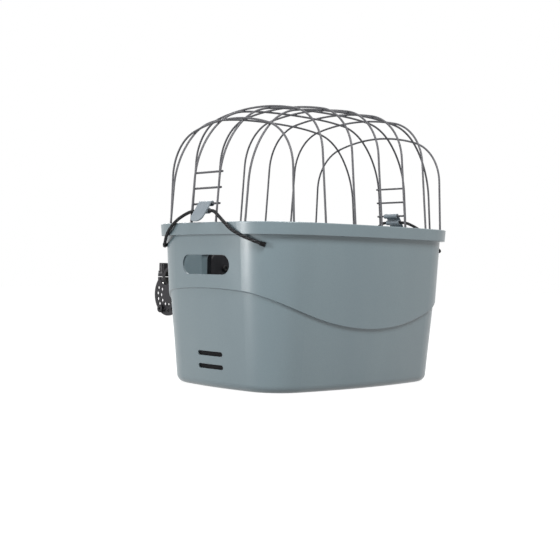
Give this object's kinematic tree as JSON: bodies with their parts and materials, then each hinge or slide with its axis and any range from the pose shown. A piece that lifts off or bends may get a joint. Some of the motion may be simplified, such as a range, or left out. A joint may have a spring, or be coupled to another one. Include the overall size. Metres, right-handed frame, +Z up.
{
  "type": "front-mounted dog bicycle basket",
  "caption": "Front bicycle pet basket: plastic tub with a stepped wall, lift-off wire dome held by elastic-cord clips, and a tilting handlebar bracket.",
  "frame": {"origin": "centre of the tub's flat foot", "axes": "+X along the tub to its right end, +Y to the bicycle side where the bracket is, +Z up"},
  "size_m": [0.4594, 0.4929, 0.4346],
  "materials": {
    "tub_plastic": "satin",
    "wire_steel": "satin",
    "clip_plastic": "satin",
    "elastic": "matte",
    "black_nylon": "satin",
    "bracket_steel": "satin",
    "zinc_steel": "satin",
    "rubber": "matte"
  },
  "bodies": {
    "tub": {"tub": "tub_plastic", "inner_plate": "black_nylon", "mount_plate": "bracket_steel", "plate_screws": "zinc_steel", "plate_nuts": "zinc_steel", "pivot_bolts": "zinc_steel", "pivot_nuts": "zinc_steel", "lock_studs": "zinc_steel", "cord_anchors_left": "black_nylon", "cord_anchors_right": "black_nylon", "cord_left": "elastic", "cord_right": "elastic"},
    "dome": {"base_wire": "wire_steel", "cross_hoop_1": "wire_steel", "cross_hoop_2": "wire_steel", "cross_hoop_3": "wire_steel", "cross_hoop_4": "wire_steel", "cross_hoop_5": "wire_steel", "cross_hoop_6": "wire_steel", "cross_hoop_7": "wire_steel", "long_hoop_1": "wire_steel", "long_hoop_2": "wire_steel", "long_hoop_3": "wire_steel", "long_hoop_4": "wire_steel", "rungs_left": "wire_steel", "rungs_right": "wire_steel"},
    "clip_left": {"clip_left": "clip_plastic"},
    "clip_right": {"clip_right": "clip_plastic"},
    "bracket": {"arm_left": "bracket_steel", "arm_right": "bracket_steel", "tie_spacer": "bracket_steel", "tie_bolt": "bracket_steel", "tie_nut": "bracket_steel", "jaw_left": "bracket_steel", "jaw_right": "bracket_steel", "jaw_liners": "rubber", "jaw_nuts": "zinc_steel"},
    "tilt_knob_left": {"tilt_knob_left": "black_nylon"},
    "tilt_knob_right": {"tilt_knob_right": "black_nylon"},
    "clamp_left": {"cap_left": "bracket_steel", "cap_liner_left": "rubber", "cap_bolt_left": "zinc_steel", "clamp_stud_left": "zinc_steel"},
    "clamp_right": {"cap_right": "bracket_steel", "cap_liner_right": "rubber", "cap_bolt_right": "zinc_steel", "clamp_stud_right": "zinc_steel"},
    "clamp_knob_left": {"clamp_knob_left": "black_nylon"},
    "clamp_knob_right": {"clamp_knob_right": "black_nylon"}
  },
  "joints": [
    {"name": "dome_lift", "type": "slide", "parent": "tub", "child": "dome", "axis": [0, 0, 1], "range_m": [0, 0.2], "deforming": ["cord_left", "cord_right"]},
    {"name": "clip_left_swing", "type": "hinge", "parent": "dome", "child": "clip_left", "pos_m": [-0.20732, 0, 0.274], "axis": [0, 1, 0], "range_deg": [0, 75], "deforming": ["cord_left"]},
    {"name": "clip_right_swing", "type": "hinge", "parent": "dome", "child": "clip_right", "pos_m": [0.20732, 0, 0.274], "axis": [0, -1, 0], "range_deg": [0, 75], "deforming": ["cord_right"]},
    {"name": "bracket_tilt", "type": "hinge", "parent": "tub", "child": "bracket", "pos_m": [0, 0.1825, 0.148], "axis": [1, 0, 0], "range_deg": [-12, 12]},
    {"name": "tilt_knob_left_spin", "type": "hinge", "parent": "tub", "child": "tilt_knob_left", "pos_m": [-0.0748, 0.2105, 0.148], "axis": [-1, 0, 0], "continuous": true},
    {"name": "clamp_left_open", "type": "slide", "parent": "bracket", "child": "clamp_left", "axis": [0, 0, 1], "range_m": [0, 0.025]},
    {"name": "clamp_knob_left_spin", "type": "hinge", "parent": "clamp_left", "child": "clamp_knob_left", "pos_m": [-0.05, 0.312, 0.177], "axis": [0, 0, 1], "continuous": true},
    {"name": "tilt_knob_right_spin", "type": "hinge", "parent": "tub", "child": "tilt_knob_right", "pos_m": [0.0748, 0.2105, 0.148], "axis": [1, 0, 0], "continuous": true},
    {"name": "clamp_right_open", "type": "slide", "parent": "bracket", "child": "clamp_right", "axis": [0, 0, 1], "range_m": [0, 0.025]},
    {"name": "clamp_knob_right_spin", "type": "hinge", "parent": "clamp_right", "child": "clamp_knob_right", "pos_m": [0.05, 0.312, 0.177], "axis": [0, 0, 1], "continuous": true}
  ]
}
